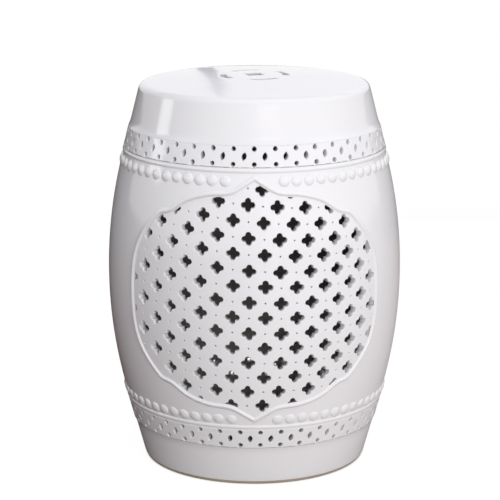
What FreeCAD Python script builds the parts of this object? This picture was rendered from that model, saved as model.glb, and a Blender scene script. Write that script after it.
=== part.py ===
import FreeCAD, Part
import math
import os
import Sketcher
from BOPTools import SplitAPI

# Ceramic garden stool: a barrel-shaped stoneware body with a crowned, pierced seat, two pierced
# bands, two rows of applied beads and one pierced medallion on its front.
# Origin at the centre of the foot on the floor, +Z up, the medallion faces -Y. Millimetres, degrees.

SIZES = {
    # Body of revolution: the outer skin is an arc between the two cords and a cone beyond each
    "belly_radius": 176.5,
    "belly_height": 230.5,
    "skin_arc_radius": 560,
    "foot_radius": 134.2,
    "edge_radius": 136.4,
    "edge_height": 458,
    "wall": 9,
    # Levels where one clay piece is luted to the next
    "bare_foot_height": 4,
    "foot_height": 49.5,
    "band_height": 24.5,
    "cord_height": 6,
    "belly_top": 377.3,
    "seat_seam": 443,
    # Seat
    "crown_rise": 9,
    "seat_thickness": 10,
    "seat_rounding": 6,
    "coin_radius": 37.5,
    "coin_slot_width": 7.5,
    "coin_slot_angle": 52,
    "coin_slots": 4,
    "coin_hole_side": 20,
    "coin_turn": 19,
    # Foot
    "foot_rounding": 2,
    # Raised mouldings
    "band_relief": 1.2,
    "cord_relief": 1.4,
    # Pierced bands
    "band_columns": 40,
    "dot_diameter": 5.2,
    "dot_spacing": 16.6,
    "slot_width": 5.4,
    "slot_length": 9.6,
    "lower_band_turn": 2.7,
    # Bead rows
    "bead_diameter": 13,
    "bead_relief": 2.8,
    "upper_bead_count": 63,
    "upper_bead_gap": 24,
    "upper_bead_clearance": 2.5,
    "lower_bead_count": 64,
    "lower_bead_gap": 19.6,
    "lower_bead_clearance": 0.4,
    # Medallion and the strip over its edge
    "medallion_half_width": 165,
    "medallion_half_height": 141,
    "medallion_height": 227.5,
    "rim_width": 5,
    "rim_relief": 2,
    "rim_stations": 24,
    # Where the belly is parted along the medallion
    "cut_stations": 72,
    "cut_depth": 109.5,
    "cut_clearance": 11.5,
    # Lattice
    "lattice_columns": 60,
    "lattice_row_pitch": 17.9,
    "lattice_margin": 5.5,
    "field_corners": 120,
    "lattice_turn": -2.2,
    "lattice_lift": 6.3,
    "lattice_slope": -0.11,
    "lattice_bow": 0.0022,
    "lobe_radius": 3.3,
    "lobe_reach_across": 4.8,
    "lobe_reach_up": 4.3,
    "punch_depth": 36,
    "least_hole_area": 14,
}

# Quarter of the medallion's outline as shares of its half width and half height, from the side
# to the tip: a round flank, a shallow pinch, a flat shoulder and an ogee point
MEDALLION_QUARTER = [
    (1.0, 0.0), (0.955, 0.39), (0.765, 0.675), (0.65, 0.722), (0.52, 0.812),
    (0.36, 0.866), (0.18, 0.889), (0.067, 0.955), (0.0, 1.0),
]

# How near two sizes lie to be the same one, and how much of a flat face's direction lies along an
# axis for the face to look that way
SAME_SIZE = 0.01
FACES_THIS_WAY = 0.5

doc = FreeCAD.newDocument("GardenStool")
sheet = doc.addObject("Spreadsheet::Sheet", "Sizes")
for row, (name, size) in enumerate(SIZES.items(), start=1):
    sheet.set(f"A{row}", name)
    sheet.set(f"B{row}", str(size))
    sheet.setAlias(f"B{row}", name)
doc.recompute()


def value(expression):
    """The number that an expression on the sheet gives."""
    result = sheet.evalExpression(expression)
    return getattr(result, "Value", result)


# Levels and skin radii, as expressions that sketches and the code below both read
LOWER_BAND_TOP = "(Sizes.foot_height + Sizes.band_height)"
BELLY_BOTTOM = "(Sizes.foot_height + Sizes.band_height + Sizes.cord_height)"
UPPER_CORD_TOP = "(Sizes.belly_top + Sizes.cord_height)"
UPPER_BAND_TOP = "(Sizes.belly_top + Sizes.cord_height + Sizes.band_height)"


def arc_skin(height, inset="0"):
    """Radius of the belly arc at a height, offset inwards by an inset."""
    arc = f"(Sizes.skin_arc_radius - {inset})"
    drop = f"({arc} - sqrt({arc} * {arc} - pow({height} - Sizes.belly_height; 2)))"
    return f"(Sizes.belly_radius - {inset} - {drop})"


def cone_skin(height, inset="0"):
    """Radius of the foot cone or the shoulder cone at a height, offset inwards by an inset."""
    if value(height) < value("Sizes.belly_height"):
        near, near_height = "Sizes.foot_radius", "0"
        far_height = BELLY_BOTTOM
    else:
        near, near_height = "Sizes.edge_radius", "Sizes.edge_height"
        far_height = "Sizes.belly_top"
    share = f"(({height} - {near_height}) / ({far_height} - {near_height}))"
    return f"({near} - {inset} + ({arc_skin(far_height)} - {near}) * {share})"


def belly_skin(height):
    """Radius of the outer skin at a height in millimetres, on the belly arc."""
    return value(arc_skin(str(height)))


def add_body(name):
    body = doc.addObject("PartDesign::Body", name)
    body.Label = name
    return body


def origin_plane(body, role):
    return next(item for item in body.Origin.OriginFeatures if item.Role == role)


def new_sketch(body, name, role, turn="0"):
    """A sketch on one of the body's origin planes, turned about the plane's upright direction."""
    sketch = body.newObject("Sketcher::SketchObject", name)
    sketch.AttachmentSupport = [(origin_plane(body, role), "")]
    sketch.MapMode = "FlatFace"
    axis = FreeCAD.Vector(0, 0, 1) if role == "XY_Plane" else FreeCAD.Vector(0, 1, 0)
    sketch.AttachmentOffset = FreeCAD.Placement(FreeCAD.Vector(), FreeCAD.Rotation(axis, value(turn)))
    if turn != "0":
        sketch.setExpression("AttachmentOffset.Rotation.Angle", turn)
    return sketch


def bind(sketch, constraint, expression):
    index = sketch.addConstraint(constraint)
    sketch.setExpression(f"Constraints[{index}]", expression)


def draw_outline(sketch, corners):
    """A closed outline through corners (across, up, radius): a radius bulges the line that
    leaves its corner, outwards if it is positive and inwards if it is negative."""
    points = [FreeCAD.Vector(value(across), value(up), 0) for across, up, _ in corners]
    first = sketch.GeometryCount
    for index, (_, _, bulge) in enumerate(corners):
        start = points[index]
        end = points[(index + 1) % len(points)]
        if bulge is None:
            sketch.addGeometry(Part.LineSegment(start, end))
        else:
            sketch.addGeometry(bulged_line(start, end, value(bulge)))
    for index, (across, up, bulge) in enumerate(corners):
        edge = first + index
        following = (index + 1) % len(corners)
        start_point, end_point = point_order(bulge)
        next_start = point_order(corners[following][2])[0]
        sketch.addConstraint(Sketcher.Constraint("Coincident", edge, end_point, first + following, next_start))
        place_point(sketch, edge, start_point, across, up)
        if bulge is not None:
            bind(sketch, Sketcher.Constraint("Radius", edge, abs(value(bulge))), f"abs({bulge})")


def bulged_line(start, end, radius):
    """An arc, run anticlockwise, that bulges to the right of the way from start to end if its
    radius is positive and to the left if it is negative."""
    chord = end - start
    inward = FreeCAD.Vector(-chord.y, chord.x, 0).normalize() * math.copysign(1, radius)
    centre = (start + end) / 2 + inward * math.sqrt(radius ** 2 - chord.Length ** 2 / 4)
    first, last = (start, end) if radius > 0 else (end, start)
    opening = math.atan2(first.y - centre.y, first.x - centre.x)
    closing = math.atan2(last.y - centre.y, last.x - centre.x)
    if closing < opening:
        closing += 2 * math.pi
    circle = Part.Circle(centre, FreeCAD.Vector(0, 0, 1), abs(radius))
    return Part.ArcOfCircle(circle, opening, closing)


def point_order(bulge):
    """Which of a line's or an arc's own points come first and last on the way round."""
    return (1, 2) if bulge is None or value(bulge) > 0 else (2, 1)


def place_point(sketch, edge, point, across, up):
    for kind, expression, axis in (("DistanceX", across, -2), ("DistanceY", up, -1)):
        if expression == "0":
            sketch.addConstraint(Sketcher.Constraint("PointOnObject", edge, point, axis))
        else:
            bind(sketch, Sketcher.Constraint(kind, edge, point, value(expression)), expression)


def revolve(body, name, corners, angle="360", turn="0"):
    """A ring, a cap or a sector: the outline turned about the stool's axis."""
    sketch = new_sketch(body, f"{name}_profile", "XZ_Plane", turn)
    draw_outline(sketch, corners)
    turned = body.newObject("PartDesign::Revolution", f"{name}_turned")
    turned.Profile = sketch
    turned.ReferenceAxis = (sketch, ["V_Axis"])
    turned.Angle = value(angle)
    if angle != "360":
        turned.setExpression("Angle", angle)
        turned.Midplane = True
    body.Tip = turned
    doc.recompute()
    return turned


def ring_corners(bottom, top, skin, relief="0"):
    """A plain ring between two levels, its inside on the wall's inner skin."""
    return [
        (skin(bottom, "Sizes.wall"), bottom, None),
        (f"({skin(bottom)} + {relief})", bottom, None),
        (f"({skin(top)} + {relief})", top, None),
        (skin(top, "Sizes.wall"), top, None),
    ]


def round_edge(body, name, radius, height, expression):
    """A fillet on the circular edge of a radius and height."""
    base = body.Tip
    edges = []
    for index, edge in enumerate(base.Shape.Edges, start=1):
        circle = None if edge.Degenerated else edge.Curve
        if not isinstance(circle, Part.Circle):
            continue
        if abs(circle.Radius - radius) < SAME_SIZE and abs(circle.Center.z - height) < SAME_SIZE:
            edges.append(f"Edge{index}")
    rounded = body.newObject("PartDesign::Fillet", f"{name}_rounded")
    rounded.Base = (base, edges)
    rounded.Radius = value(expression)
    rounded.setExpression("Radius", expression)
    body.Tip = rounded
    doc.recompute()


def origin_axis(body):
    return next(item for item in body.Origin.OriginFeatures if item.Role == "Z_Axis")


# Seat: a crowned cap with a rounded edge, pierced with a coin, a square hole ringed by four slots
def make_seat():
    body = add_body("seat_top")
    crown = "((pow(Sizes.edge_radius; 2) + pow(Sizes.crown_rise; 2)) / (2 * Sizes.crown_rise))"
    top = "(Sizes.edge_height + Sizes.crown_rise)"
    ceiling = f"({top} - Sizes.seat_thickness)"
    ceiling_crown = f"({crown} - Sizes.seat_thickness)"
    inner = cone_skin("Sizes.seat_seam", "Sizes.wall")
    inner_corner = f"({top} - {crown} + sqrt({ceiling_crown} * {ceiling_crown} - {inner} * {inner}))"
    corners = [
        ("0", ceiling, f"-{ceiling_crown}"),
        (inner, inner_corner, None),
        (inner, "Sizes.seat_seam", None),
        (cone_skin("Sizes.seat_seam"), "Sizes.seat_seam", None),
        ("Sizes.edge_radius", "Sizes.edge_height", crown),
        ("0", top, None),
    ]
    revolve(body, "seat", corners)
    round_edge(body, "seat_edge", value("Sizes.edge_radius"), value("Sizes.edge_height"), "Sizes.seat_rounding")
    pierce_coin(body)


def pierce_coin(body):
    low = "(Sizes.edge_height - Sizes.seat_thickness * 2)"
    high = "(Sizes.edge_height + Sizes.crown_rise * 2)"
    half = "Sizes.coin_slot_width / 2"
    near = f"(Sizes.coin_radius - {half})"
    far = f"(Sizes.coin_radius + {half})"
    slot = new_sketch(body, "coin_slot_section", "XZ_Plane", "Sizes.coin_turn")
    draw_outline(slot, [(near, low, None), (far, low, None), (far, high, None), (near, high, None)])
    groove = body.newObject("PartDesign::Groove", "coin_slot")
    groove.Profile = slot
    groove.ReferenceAxis = (slot, ["V_Axis"])
    groove.Angle = value("Sizes.coin_slot_angle")
    groove.setExpression("Angle", "Sizes.coin_slot_angle")
    groove.Midplane = True
    body.Tip = groove
    doc.recompute()
    pattern = body.newObject("PartDesign::PolarPattern", "coin_slots")
    pattern.Originals = [groove]
    pattern.Axis = (origin_axis(body), [""])
    pattern.Angle = 360
    pattern.Occurrences = int(value("Sizes.coin_slots"))
    body.Tip = pattern
    doc.recompute()
    side = "(Sizes.coin_hole_side / 2)"
    square = new_sketch(body, "coin_hole_outline", "XY_Plane", "Sizes.coin_turn")
    draw_outline(square, [
        (f"-{side}", f"-{side}", None), (side, f"-{side}", None),
        (side, side, None), (f"-{side}", side, None),
    ])
    hole = body.newObject("PartDesign::Pocket", "coin_hole")
    hole.Profile = square
    hole.Type = "ThroughAll"
    hole.Reversed = True
    body.Tip = hole
    doc.recompute()


# Shoulder: the plain cone between the upper band and the seat
def make_shoulder():
    body = add_body("shoulder_wall")
    revolve(body, "shoulder", ring_corners(UPPER_BAND_TOP, "Sizes.seat_seam", cone_skin))


# Pierced bands: columns of two round holes, with a pointed slot midway between columns
def make_band(name, bottom, top, turn):
    """One sector with its three holes is drilled, and its copies make the ring."""
    body = add_body(f"{name}_sector")
    sector_turn = f"({turn} + 90 / Sizes.band_columns - 90)"
    corners = ring_corners(bottom, top, cone_skin, "Sizes.band_relief")
    revolve(body, name, corners, "360 / Sizes.band_columns", sector_turn)
    middle = f"(({bottom} + {top}) / 2)"
    dots = new_sketch(body, f"{name}_dots", "XZ_Plane", turn)
    for sign in ("-", "+"):
        level = f"({middle} {sign} Sizes.dot_spacing / 2)"
        circle = dots.addGeometry(Part.Circle(
            FreeCAD.Vector(0, value(level), 0), FreeCAD.Vector(0, 0, 1), value("Sizes.dot_diameter / 2")))
        place_point(dots, circle, 3, "0", level)
        bind(dots, Sketcher.Constraint("Radius", circle, value("Sizes.dot_diameter / 2")), "Sizes.dot_diameter / 2")
    drill(body, f"{name}_dot_holes", dots)
    half_length = "(Sizes.slot_length / 2)"
    half_width = "(Sizes.slot_width / 2)"
    bulge = f"((pow({half_length}; 2) + pow({half_width}; 2)) / (2 * {half_width}))"
    slot = new_sketch(body, f"{name}_slot", "XZ_Plane", f"({turn} + 180 / Sizes.band_columns)")
    draw_outline(slot, [
        ("0", f"({middle} - {half_length})", bulge),
        ("0", f"({middle} + {half_length})", bulge),
    ])
    drill(body, f"{name}_slot_hole", slot)
    ring = doc.addObject("Part::Feature", name)
    ring.Shape = close_ring(body.Shape, int(value("Sizes.band_columns")))


def drill(body, name, sketch):
    """Holes through one side of a ring, from its axis outwards."""
    hole = body.newObject("PartDesign::Pocket", name)
    hole.Profile = sketch
    hole.Type = "Length"
    hole.Length = value("Sizes.belly_radius")
    hole.setExpression("Length", "Sizes.belly_radius")
    hole.Reversed = True
    body.Tip = hole
    doc.recompute()


def close_ring(sector, count):
    """A ring of a sector's copies, sewn into one solid where neighbours meet."""
    faces = []
    for face in sector.Faces:
        if isinstance(face.Surface, Part.Plane) and abs(face.Surface.Axis.z) < FACES_THIS_WAY:
            continue
        for place in range(count):
            copy = face.copy()
            copy.rotate(FreeCAD.Vector(), FreeCAD.Vector(0, 0, 1), place * 360 / count)
            faces.append(copy)
    return sewn_solid(faces)


def sewn_solid(faces):
    shell = Part.makeShell(faces)
    shell.sewShape()
    return Part.Solid(shell)


# Cords: the half-round mouldings that close the bands towards the belly
def make_cord(name, bottom, top):
    body = add_body(name)
    lower = cone_skin(bottom)
    upper = cone_skin(top)
    half_chord_squared = f"((pow(Sizes.cord_height; 2) + pow({lower} - {upper}; 2)) / 4)"
    bulge = f"(({half_chord_squared} + pow(Sizes.cord_relief; 2)) / (2 * Sizes.cord_relief))"
    corners = [
        (cone_skin(bottom, "Sizes.wall"), bottom, None),
        (lower, bottom, bulge),
        (upper, top, None),
        (cone_skin(top, "Sizes.wall"), top, None),
    ]
    revolve(body, name, corners)


# Beads: separate low domes of clay, in a row that stops short of the medallion's tip
def make_beads(name, height, count, gap):
    relief = value("Sizes.bead_relief")
    radius = (value("Sizes.bead_diameter / 2") ** 2 + relief ** 2) / (2 * relief)
    cut = radius - relief
    base_latitude = math.degrees(math.asin(cut / radius))
    across = belly_skin(height)
    lean = math.asin((height - value("Sizes.belly_height")) / value("Sizes.skin_arc_radius"))
    step = (360 - gap) / (count - 1)
    domes = []
    for index in range(count):
        angle = math.radians(gap / 2 + index * step)
        outwards = FreeCAD.Vector(math.sin(angle), -math.cos(angle), 0)
        seat = outwards * across + FreeCAD.Vector(0, 0, height)
        normal = outwards * math.cos(lean) + FreeCAD.Vector(0, 0, math.sin(lean))
        domes.append(Part.makeSphere(radius, seat - normal * cut, normal, base_latitude, 90, 360))
    beads = doc.addObject("Part::Feature", name)
    beads.Shape = Part.makeCompound(domes)


def medallion_curve():
    """Right half of the medallion's outline, bottom tip to top tip, on the unrolled skin."""
    half_width = value("Sizes.medallion_half_width")
    half_height = value("Sizes.medallion_half_height")
    upper = [FreeCAD.Vector(across * half_width, up * half_height, 0) for across, up in MEDALLION_QUARTER]
    lower = [FreeCAD.Vector(point.x, -point.y, 0) for point in reversed(upper[1:])]
    curve = Part.BSplineCurve()
    curve.interpolate(lower + upper)
    return curve


def on_skin(across, up, radius=None):
    """The point of a turned skin that lies at a place on the unrolled one, medallion centred."""
    height = value("Sizes.medallion_height") + up
    angle = across / value("Sizes.belly_radius")
    reach = belly_skin(height) if radius is None else radius
    return FreeCAD.Vector(reach * math.sin(angle), -reach * math.cos(angle), height)


def skin_normal(across, up):
    """The direction square to the belly's skin at a place on the unrolled one."""
    angle = across / value("Sizes.belly_radius")
    rise = (value("Sizes.medallion_height") + up - value("Sizes.belly_height")) / value("Sizes.skin_arc_radius")
    level = math.sqrt(1 - rise ** 2)
    return FreeCAD.Vector(level * math.sin(angle), -level * math.cos(angle), rise)


def stations(curve, count):
    """Parameters of evenly spaced places along a curve, its ends included."""
    first, last = curve.FirstParameter, curve.LastParameter
    return [first + (last - first) * step / count for step in range(count + 1)]


def medallion_cutter():
    """Ruled walls that cut the belly along the medallion's outline, square to the axis."""
    outline = medallion_curve()
    places = [outline.value(station) for station in stations(outline, int(value("Sizes.cut_stations")))]
    radii = [value("Sizes.belly_radius - Sizes.cut_depth"), value("Sizes.belly_radius + Sizes.cut_clearance")]
    faces = []
    for side in (1, -1):
        edges = []
        for radius in radii:
            curve = Part.BSplineCurve()
            curve.interpolate(
                Points=[on_skin(side * place.x, place.y, radius) for place in places],
                Parameters=[float(step) for step in range(len(places))])
            edges.append(curve.toShape())
        faces.append(Part.makeRuledSurface(edges[0], edges[1]))
    return Part.makeShell([face for ruled in faces for face in ruled.Faces])


# Belly: one barrel ring, parted along the medallion's outline into the wall and the panel blank
def make_belly():
    body = add_body("belly_blank")
    bottom, top = BELLY_BOTTOM, "Sizes.belly_top"
    corners = [
        (arc_skin(bottom, "Sizes.wall"), bottom, None),
        (arc_skin(bottom), bottom, "Sizes.skin_arc_radius"),
        (arc_skin(top), top, None),
        (arc_skin(top, "Sizes.wall"), top, "-(Sizes.skin_arc_radius - Sizes.wall)"),
    ]
    revolve(body, "belly", corners)
    parted = SplitAPI.slice(body.Shape, [medallion_cutter()], "Split", 0.0)
    panel, wall = sorted(parted.Solids, key=lambda solid: solid.Volume)
    belly = doc.addObject("Part::Feature", "belly_wall")
    belly.Shape = wall
    blank = doc.addObject("Part::Feature", "lattice_blank")
    blank.Shape = panel
    return blank


def quatrefoil():
    """A four-lobed hole about its own centre, as one face."""
    radius = value("Sizes.lobe_radius")
    across = value("Sizes.lobe_reach_across")
    up = value("Sizes.lobe_reach_up")
    half_gap = math.hypot(across, up) / 2
    notch_out = math.sqrt(radius ** 2 - half_gap ** 2)
    notch = FreeCAD.Vector(
        across / 2 + up / (2 * half_gap) * notch_out,
        up / 2 + across / (2 * half_gap) * notch_out, 0)
    corners = [FreeCAD.Vector(x * notch.x, y * notch.y, 0) for x, y in ((1, 1), (-1, 1), (-1, -1), (1, -1))]
    tips = [
        FreeCAD.Vector(0, up + radius, 0), FreeCAD.Vector(-across - radius, 0, 0),
        FreeCAD.Vector(0, -up - radius, 0), FreeCAD.Vector(across + radius, 0, 0),
    ]
    arcs = [Part.Arc(corners[side], tips[side], corners[(side + 1) % 4]).toShape() for side in range(4)]
    return Part.Face(Part.Wire(arcs))


def lattice_field():
    """The part of the unrolled skin that the lattice's holes may open, inside its margin."""
    curve = medallion_curve()
    right = curve.toShape()
    left = right.mirror(FreeCAD.Vector(0, 0, 0), FreeCAD.Vector(1, 0, 0))
    outline = Part.Face(Part.Wire(Part.__sortEdges__([right, left])))
    inset = outline.makeOffset2D(-value("Sizes.lattice_margin")).OuterWire
    corners = inset.discretize(Number=int(value("Sizes.field_corners")))
    return Part.Face(Part.makePolygon(corners + corners[:1]))


def lattice_places():
    """Centres of the holes on the unrolled skin: every second crossing of a square grid whose
    rows bow and fall a little to the right."""
    step = 360 / value("Sizes.lattice_columns")
    pitch = value("Sizes.lattice_row_pitch")
    reach = value("Sizes.belly_radius")
    columns = math.ceil(math.degrees(value("Sizes.medallion_half_width") / reach) / step) + 1
    rows = math.ceil(value("Sizes.medallion_half_height") / pitch) + 1
    places = []
    for row in range(-rows, rows + 1):
        for column in range(-columns, columns + 1):
            if (row + column) % 2:
                continue
            angle = value("Sizes.lattice_turn") + column * step
            fall = value("Sizes.lattice_slope") * angle + value("Sizes.lattice_bow") * angle ** 2
            up = value("Sizes.lattice_lift") - row * pitch + fall
            places.append(FreeCAD.Vector(math.radians(angle) * reach, up, 0))
    return places


def lattice_punches():
    """Radial prisms, one for each hole, trimmed where the lattice meets its margin."""
    field = lattice_field()
    hole = quatrefoil()
    depth = value("Sizes.punch_depth")
    prisms = []
    for place in lattice_places():
        opening = hole.copy()
        opening.translate(place)
        kept = opening.common(field)
        for face in kept.Faces:
            if face.Area < value("Sizes.least_hole_area"):
                continue
            face.translate(-place)
            prism = face.extrude(FreeCAD.Vector(0, 0, depth))
            centre = on_skin(place.x, place.y)
            turn = FreeCAD.Rotation(FreeCAD.Vector(0, 0, 1), math.degrees(place.x / value("Sizes.belly_radius")))
            upright = FreeCAD.Rotation(FreeCAD.Vector(1, 0, 0), 90)
            outwards = FreeCAD.Vector(centre.x, centre.y, 0).normalize()
            prism.Placement = FreeCAD.Placement(centre - outwards * depth / 2, turn.multiply(upright))
            prisms.append(prism)
    return prisms


# Lattice panel: the medallion's field, pierced with a diagonal lattice of quatrefoils
def make_lattice(blank):
    punches = doc.addObject("Part::Feature", "lattice_punches")
    punches.Shape = Part.makeCompound(lattice_punches())
    panel = doc.addObject("Part::Cut", "lattice_panel")
    panel.Base = blank
    panel.Tool = punches
    panel.Refine = False
    doc.recompute()


# Medallion rim: a half-round strip of clay laid over the panel's edge, mitred at its two tips
def make_rim():
    outline = medallion_curve()
    places = stations(outline, int(value("Sizes.rim_stations")))
    sections = [rim_section(outline, station, station in (places[0], places[-1])) for station in places]
    half = Part.makeLoft(sections, True, False)
    faces = []
    for face in half.Faces:
        if isinstance(face.Surface, Part.Plane) and abs(face.Surface.Axis.x) > FACES_THIS_WAY:
            continue
        faces.append(face)
        faces.extend(face.mirror(FreeCAD.Vector(), FreeCAD.Vector(1, 0, 0)).Faces)
    rim = doc.addObject("Part::Feature", "medallion_rim")
    rim.Shape = sewn_solid(faces)


def rim_section(outline, station, mitred):
    """The strip's half-round section, square to its run, or in the mirror plane at a tip."""
    place = outline.value(station)
    ahead = place + outline.tangent(station)[0]
    foot = on_skin(place.x, place.y)
    normal = skin_normal(place.x, place.y)
    along = (on_skin(ahead.x, ahead.y) - foot).normalize()
    across = normal.cross(along).normalize()
    half_width = value("Sizes.rim_width / 2")
    if mitred:
        upright = FreeCAD.Vector(0, 0, 1) - normal * normal.z
        upright = upright.normalize() * math.copysign(1, upright.dot(across))
        half_width /= upright.dot(across)
        across = upright
    first = foot - across * half_width
    last = foot + across * half_width
    crest = foot + normal * value("Sizes.rim_relief")
    return Part.Wire([Part.Arc(first, crest, last).toShape(), Part.LineSegment(last, first).toShape()])


# Foot: the plain cone under the lower band, and the bare rim it stands on
def make_foot():
    wall = add_body("foot_wall")
    revolve(wall, "foot_wall", ring_corners("Sizes.bare_foot_height", "Sizes.foot_height", cone_skin))
    rim = add_body("bare_foot_rim")
    revolve(rim, "bare_foot_rim", ring_corners("0", "Sizes.bare_foot_height", cone_skin))
    round_edge(rim, "foot_edge", value("Sizes.foot_radius"), 0, "Sizes.foot_rounding")


make_foot()
make_band("lower_pierced_band", "Sizes.foot_height", LOWER_BAND_TOP, "Sizes.lower_band_turn")
make_cord("lower_cord", LOWER_BAND_TOP, BELLY_BOTTOM)
blank_panel = make_belly()
make_lattice(blank_panel)
make_rim()
make_cord("upper_cord", "Sizes.belly_top", UPPER_CORD_TOP)
make_band("upper_pierced_band", UPPER_CORD_TOP, UPPER_BAND_TOP, "0")
make_shoulder()
make_seat()
make_beads("upper_beads", value("Sizes.belly_top - Sizes.bead_diameter / 2 - Sizes.upper_bead_clearance"),
           int(value("Sizes.upper_bead_count")), value("Sizes.upper_bead_gap"))
make_beads("lower_beads", value(f"{BELLY_BOTTOM} + Sizes.bead_diameter / 2 + Sizes.lower_bead_clearance"),
           int(value("Sizes.lower_bead_count")), value("Sizes.lower_bead_gap"))
doc.recompute()

PIECES = [
    "seat_top", "shoulder_wall", "upper_pierced_band", "upper_cord", "upper_beads", "belly_wall",
    "lattice_panel", "medallion_rim", "lower_beads", "lower_cord", "lower_pierced_band",
    "foot_wall", "bare_foot_rim",
]

for item in doc.Objects:
    if "Invalid" in item.State or "Error" in item.State:
        raise RuntimeError(f"{item.Name} did not build: {item.State}")
pieces = {name: doc.getObject(name) for name in PIECES}
for name, piece in pieces.items():
    if piece.Shape.isNull() or not piece.Shape.isValid():
        raise RuntimeError(f"{name} has no valid shape")

os.makedirs("parts", exist_ok=True)
for name, piece in pieces.items():
    piece.Shape.exportStep(f"parts/{name}.step")
    box = piece.Shape.BoundBox
    print(f"{name}: {len(piece.Shape.Solids)} solids, {len(piece.Shape.Faces)} faces, "
          f"{piece.Shape.Volume / 1000:.1f} cm3, z {box.ZMin:.1f} to {box.ZMax:.1f}, r {box.XMax:.1f}")
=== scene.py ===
import math
import random

import bpy
import numpy as np
from mathutils import Matrix, Vector


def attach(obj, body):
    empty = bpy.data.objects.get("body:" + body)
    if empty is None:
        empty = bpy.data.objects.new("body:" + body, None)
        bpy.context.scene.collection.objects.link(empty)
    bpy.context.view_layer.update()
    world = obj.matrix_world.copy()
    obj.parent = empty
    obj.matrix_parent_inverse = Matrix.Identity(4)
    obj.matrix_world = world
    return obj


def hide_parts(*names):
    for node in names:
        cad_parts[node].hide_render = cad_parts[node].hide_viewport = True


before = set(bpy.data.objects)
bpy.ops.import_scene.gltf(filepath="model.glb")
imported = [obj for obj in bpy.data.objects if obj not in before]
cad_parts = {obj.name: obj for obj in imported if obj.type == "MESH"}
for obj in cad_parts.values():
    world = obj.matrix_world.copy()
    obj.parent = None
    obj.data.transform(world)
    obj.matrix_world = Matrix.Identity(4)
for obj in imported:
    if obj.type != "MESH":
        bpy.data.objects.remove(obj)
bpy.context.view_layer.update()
random.seed(18)

# White glazed garden stool. Sizes are real millimetres, as the maker would measure the pot;
# heights are above the floor, and the medallion faces -Y. The studio is given in metres.
MM = 0.001

# The profile: the wall, the skin and the seams between the pieces
WALL = 9
BELLY_RADIUS = 176.5
BELLY_HEIGHT = 230.5
SKIN_ARC_RADIUS = 560
FOOT_RADIUS = 134.2
FOOT_ROUNDING = 3
EDGE_RADIUS = 136.4
EDGE_HEIGHT = 458
BARE_FOOT_HEIGHT = 4
FOOT_HEIGHT = 49.5
BAND_HEIGHT = 24.5
CORD_HEIGHT = 6
LOWER_BAND_TOP = FOOT_HEIGHT + BAND_HEIGHT
BELLY_BOTTOM = LOWER_BAND_TOP + CORD_HEIGHT
BELLY_TOP = 377.3
UPPER_CORD_TOP = BELLY_TOP + CORD_HEIGHT
UPPER_BAND_TOP = UPPER_CORD_TOP + BAND_HEIGHT
SEAT_SEAM = 443
CROWN_RISE = 9
SEAT_THICKNESS = 10
SEAT_ROUNDING = 6

# The bands, the cords and the beads
BAND_RELIEF = 1.2
CORD_RELIEF = 1.4
BAND_COLUMNS = 40
DOT_DIAMETER = 5.2
DOT_SPACING = 16.6
SLOT_WIDTH = 5.4
SLOT_LENGTH = 9.6
BEAD_RADIUS = 6.5
BEAD_RELIEF = 2.1
BEAD_FLARE = 1.12
BEAD_CUT_HEIGHT = 0.6
BEAD_SKIRT = ((1.045, -0.45), (1.06, -0.4))

# The coin in the seat, and the disc that it is cut in
COIN_DISC_RADIUS = 60
COIN_RADIUS = 37.5
COIN_SLOT_WIDTH = 7.5
COIN_SLOT_ANGLE = 52
COIN_SLOT_ROUNDING = 1.2
COIN_HOLE_SIDE = 20
COIN_HOLE_ROUNDING = 1.5
COIN_TURN = 19

# The medallion and its lattice
MEDALLION_HALF_WIDTH = 165
MEDALLION_RISE = 145
MEDALLION_DROP = 141
MEDALLION_HEIGHT = 227.5
LATTICE_MARGIN = 2.4
LATTICE_PITCH = 17.9
LATTICE_STEP = 6
PINHOLE_RADIUS = 0.9
LOBE_RADIUS = 3.3
LOBE_REACH_ACROSS = 4.8
LOBE_REACH_UP = 4.3
NOTCH_BLEND = 0.9
LEAST_HOLE_AREA = 14

# How softly the glaze rounds the cut clay and fills the corners at the bands
HOLE_SOFTNESS = 0.9
COIN_SOFTNESS = 1.4
FILLET = 8
FILLET_CLEARANCE = FILLET * 1.3
SEAM_FILL = 1.1

# How finely the forms are divided
TURN_STEPS = 180
BELLY_COLUMNS = 120
BELLY_ROW = 8
CORD_STEPS = 10
CREASE_ANGLE = math.radians(50)


def skin(height):
    """Radius of the stool's outer skin at a height: an arc on the belly, a cone beyond each cord."""
    if height < BELLY_BOTTOM:
        near, near_height, far_height = FOOT_RADIUS, 0, BELLY_BOTTOM
    elif height > BELLY_TOP:
        near, near_height, far_height = EDGE_RADIUS, EDGE_HEIGHT, BELLY_TOP
    else:
        rise = height - BELLY_HEIGHT
        return BELLY_RADIUS - SKIN_ARC_RADIUS + math.sqrt(SKIN_ARC_RADIUS ** 2 - rise ** 2)
    share = (height - near_height) / (far_height - near_height)
    return near + (skin(far_height) - near) * share


def skin_slope(height):
    """How fast the skin's radius grows with height."""
    if height <= BELLY_BOTTOM:
        return (skin(BELLY_BOTTOM) - FOOT_RADIUS) / BELLY_BOTTOM
    if height >= BELLY_TOP:
        return (EDGE_RADIUS - skin(BELLY_TOP)) / (EDGE_HEIGHT - BELLY_TOP)
    return belly_slope(height)


def belly_slope(height):
    """The belly arc's slope, held past its ends."""
    rise = min(max(height, BELLY_BOTTOM), BELLY_TOP) - BELLY_HEIGHT
    return -rise / math.sqrt(SKIN_ARC_RADIUS ** 2 - rise ** 2)


def wander(reach):
    """How far a thing made by hand is off its place or its size, either way."""
    return random.uniform(-reach, reach)


# Materials

# The sockets of a colour mix
FIRST_COLOUR, SECOND_COLOUR, MIXED_COLOUR = 6, 7, 2


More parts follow.
